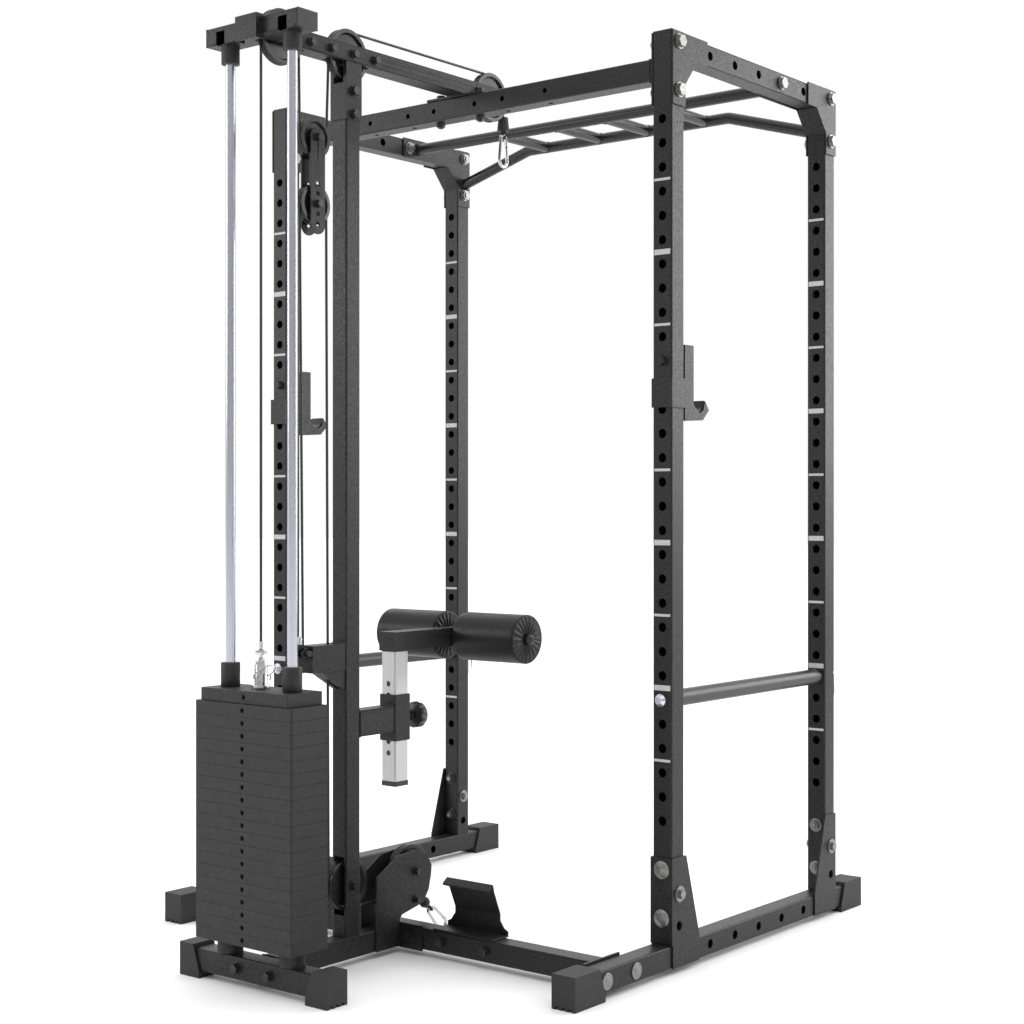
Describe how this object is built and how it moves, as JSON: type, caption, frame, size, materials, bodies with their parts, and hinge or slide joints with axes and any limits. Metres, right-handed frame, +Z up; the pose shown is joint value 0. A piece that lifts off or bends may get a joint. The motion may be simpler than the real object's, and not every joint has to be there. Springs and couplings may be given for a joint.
{
  "type": "power cage with lat and low-row weight tower",
  "caption": "Square-tube power cage with J-cups, safety bars, pull-up grips and a rear weight-stack tower for lat pulldown and low row.",
  "frame": {"origin": "on the floor, at the middle of the whole footprint", "axes": "+Z up; +Y from the weight tower towards the open front of the cage; X across the cage, its plane of symmetry at X = 0"},
  "size_m": [1.2932, 1.572, 2.113],
  "materials": {
    "powder_coat": "fine-textured charcoal powder coat",
    "polished_steel": "polished, hard chromed steel",
    "zinc_steel": "zinc-plated steel, slightly dull",
    "black_steel": "black oxide steel",
    "chrome_wire": "bright chromed wire",
    "stack_iron": "satin black painted iron",
    "pulley_plastic": "moulded black nylon",
    "black_plastic": "moulded black plastic with a light grain",
    "black_rubber": "matte black rubber",
    "black_foam": "closed-cell black foam with a soft skin",
    "cable_coat": "black nylon coated steel cable"
  },
  "bodies": {
    "frame": {"base_rails": "powder_coat", "upright_rear_left": "powder_coat", "upright_rear_right": "powder_coat", "upright_front_left": "powder_coat", "upright_front_right": "powder_coat", "top_rails": "powder_coat", "corner_gussets": "powder_coat", "base_gusset_plates": "powder_coat", "rear_top_crossbeam": "powder_coat", "rear_base_crossmember": "powder_coat", "pull_up_bar": "powder_coat", "foot_plates": "powder_coat", "tower_base": "powder_coat", "tower_post": "powder_coat", "lat_beam": "powder_coat", "row_pulley_plates": "powder_coat", "knee_roller_holder": "powder_coat", "guide_rods": "polished_steel", "safety_pins": "polished_steel", "zinc_bolts": "zinc_steel", "black_bolts": "black_steel", "weight_plates_resting": "stack_iron", "end_caps": "black_plastic", "rubber_feet": "black_rubber", "rod_sockets_and_bumpers": "black_rubber", "lat_cable": "cable_coat", "low_cable": "cable_coat"},
    "stack": {"head_plate": "stack_iron", "weight_plates_picked": "stack_iron", "selector_stem": "polished_steel"},
    "selector_pin": {"selector_pin": "polished_steel"},
    "block": {"block_plates": "powder_coat", "block_bolts": "black_steel"},
    "lat_end": {"lat_cable_stop": "black_rubber"},
    "lat_hook": {"lat_hook": "chrome_wire"},
    "lat_gate": {"lat_hook_gate": "chrome_wire"},
    "low_end": {"low_cable_stop": "black_rubber"},
    "low_hook": {"low_hook": "chrome_wire"},
    "low_gate": {"low_hook_gate": "chrome_wire"},
    "knee_post": {"knee_post": "zinc_steel", "knee_post_plug": "black_plastic", "knee_roller_arm": "powder_coat"},
    "knee_knob": {"knee_lock_knob": "black_plastic"},
    "j_cup_left": {"j_cup_left": "powder_coat", "j_cup_liner_left": "black_plastic"},
    "safety_pipe_left": {"safety_pipe_left": "black_plastic"},
    "safety_tab_left": {"safety_tab_left": "polished_steel"},
    "knee_roller_left": {"knee_roller_left": "black_foam"},
    "j_cup_right": {"j_cup_right": "powder_coat", "j_cup_liner_right": "black_plastic"},
    "safety_pipe_right": {"safety_pipe_right": "black_plastic"},
    "safety_tab_right": {"safety_tab_right": "polished_steel"},
    "knee_roller_right": {"knee_roller_right": "black_foam"},
    "pulley_top_rear": {"pulley_top_rear": "pulley_plastic"},
    "pulley_top_middle": {"pulley_top_middle": "pulley_plastic"},
    "pulley_top_front": {"pulley_top_front": "pulley_plastic"},
    "pulley_base": {"pulley_base": "pulley_plastic"},
    "pulley_low_row": {"pulley_low_row": "pulley_plastic"},
    "pulley_block_upper": {"pulley_block_upper": "pulley_plastic"},
    "pulley_block_lower": {"pulley_block_lower": "pulley_plastic"}
  },
  "joints": [
    {"name": "stack_lift", "type": "slide", "parent": "frame", "child": "stack", "axis": [0, 0, 1], "range_m": [0, 1.2], "deforming": ["lat_cable"]},
    {"name": "lat_pull", "type": "slide", "parent": "frame", "child": "lat_end", "axis": [0, 0, -1], "range_m": [0, 1.2]},
    {"name": "block_drop", "type": "slide", "parent": "frame", "child": "block", "axis": [0, 0, -1], "range_m": [0, 0.6], "deforming": ["low_cable"]},
    {"name": "low_pull", "type": "slide", "parent": "frame", "child": "low_end", "axis": [0, 1, 0], "range_m": [0, 1.2]},
    {"name": "selector_pin_pull", "type": "slide", "parent": "stack", "child": "selector_pin", "axis": [0, 1, 0], "range_m": [0, 0.1]},
    {"name": "pulley_top_rear_spin", "type": "hinge", "parent": "frame", "child": "pulley_top_rear", "pos_m": [0, -0.675, 2.053], "axis": [1, 0, 0], "range_deg": [-1228.99, 0]},
    {"name": "pulley_top_middle_spin", "type": "hinge", "parent": "frame", "child": "pulley_top_middle", "pos_m": [0, -0.47, 2.053], "axis": [1, 0, 0], "range_deg": [-1228.99, 0]},
    {"name": "pulley_top_front_spin", "type": "hinge", "parent": "frame", "child": "pulley_top_front", "pos_m": [0, 0.039, 2.053], "axis": [1, 0, 0], "range_deg": [-1228.99, 0]},
    {"name": "pulley_block_upper_spin", "type": "hinge", "parent": "block", "child": "pulley_block_upper", "pos_m": [0, -0.575, 1.85], "axis": [1, 0, 0], "range_deg": [0, 1678.63]},
    {"name": "pulley_block_lower_spin", "type": "hinge", "parent": "block", "child": "pulley_block_lower", "pos_m": [0, -0.575, 1.703], "axis": [1, 0, 0], "range_deg": [-839.31, 0]},
    {"name": "pulley_base_spin", "type": "hinge", "parent": "frame", "child": "pulley_base", "pos_m": [0, -0.47, 0.18], "axis": [1, 0, 0], "range_deg": [0, 1228.99]},
    {"name": "pulley_low_row_spin", "type": "hinge", "parent": "frame", "child": "pulley_low_row", "pos_m": [0, -0.263, 0.18], "axis": [1, 0, 0], "range_deg": [0, 1228.99]},
    {"name": "lat_hook_swing", "type": "hinge", "parent": "lat_end", "child": "lat_hook", "pos_m": [0, 0.095, 1.9608], "axis": [1, 0, 0], "range_deg": [-60, 60]},
    {"name": "lat_gate_open", "type": "hinge", "parent": "lat_hook", "child": "lat_gate", "pos_m": [0, 0.1089, 1.914], "axis": [1, 0, 0], "range_deg": [0, 25], "stiffness_Nm_per_rad": 0.03, "springref_deg": -17.19},
    {"name": "low_hook_swing", "type": "hinge", "parent": "low_end", "child": "low_hook", "pos_m": [0, -0.18094, 0.06994], "axis": [1, 0, 0], "range_deg": [0, 70]},
    {"name": "low_gate_open", "type": "hinge", "parent": "low_hook", "child": "low_gate", "pos_m": [0, -0.13802, 0.04667], "axis": [1, 0, 0], "range_deg": [0, 25], "stiffness_Nm_per_rad": 0.03, "springref_deg": -17.19},
    {"name": "j_cup_left_turn", "type": "hinge", "parent": "frame", "child": "j_cup_left", "pos_m": [-0.607, -0.071, 1.3565], "axis": [0, 1, 0], "range_deg": [0, 90]},
    {"name": "safety_pipe_left_spin", "type": "hinge", "parent": "frame", "child": "safety_pipe_left", "pos_m": [-0.607, 0.2774, 0.6061], "axis": [0, 1, 0], "continuous": true},
    {"name": "safety_tab_left_flip", "type": "hinge", "parent": "frame", "child": "safety_tab_left", "pos_m": [-0.607, 0.6678, 0.6061], "axis": [1, 0, 0], "range_deg": [0, 90]},
    {"name": "knee_roller_left_spin", "type": "hinge", "parent": "knee_post", "child": "knee_roller_left", "pos_m": [-0.1235, -0.082, 0.721], "axis": [1, 0, 0], "continuous": true},
    {"name": "j_cup_right_turn", "type": "hinge", "parent": "frame", "child": "j_cup_right", "pos_m": [0.607, -0.071, 1.3565], "axis": [0, -1, 0], "range_deg": [0, 90]},
    {"name": "safety_pipe_right_spin", "type": "hinge", "parent": "frame", "child": "safety_pipe_right", "pos_m": [0.607, 0.2774, 0.6061], "axis": [0, 1, 0], "continuous": true},
    {"name": "safety_tab_right_flip", "type": "hinge", "parent": "frame", "child": "safety_tab_right", "pos_m": [0.607, 0.6678, 0.6061], "axis": [1, 0, 0], "range_deg": [0, 90]},
    {"name": "knee_roller_right_spin", "type": "hinge", "parent": "knee_post", "child": "knee_roller_right", "pos_m": [0.1235, -0.082, 0.721], "axis": [1, 0, 0], "continuous": true},
    {"name": "knee_height", "type": "slide", "parent": "frame", "child": "knee_post", "axis": [0, 0, 1], "range_m": [-0.0804, 0.0804]},
    {"name": "knee_knob_pull", "type": "slide", "parent": "frame", "child": "knee_knob", "axis": [0, 1, 0], "range_m": [0, 0.015], "stiffness_N_per_m": 800, "springref_m": -0.01}
  ],
  "couplings": [
    {"joint": "lat_pull", "follows": "stack_lift", "ratio": 1},
    {"joint": "low_pull", "follows": "block_drop", "ratio": 2},
    {"joint": "pulley_top_rear_spin", "follows": "stack_lift", "rad_per_m": -17.857},
    {"joint": "pulley_top_middle_spin", "follows": "stack_lift", "rad_per_m": -17.857},
    {"joint": "pulley_top_front_spin", "follows": "stack_lift", "rad_per_m": -17.857},
    {"joint": "pulley_block_upper_spin", "follows": "stack_lift", "rad_per_m": 24.39},
    {"joint": "pulley_block_lower_spin", "follows": "block_drop", "rad_per_m": -24.39},
    {"joint": "pulley_base_spin", "follows": "block_drop", "rad_per_m": 35.714},
    {"joint": "pulley_low_row_spin", "follows": "block_drop", "rad_per_m": 35.714}
  ]
}
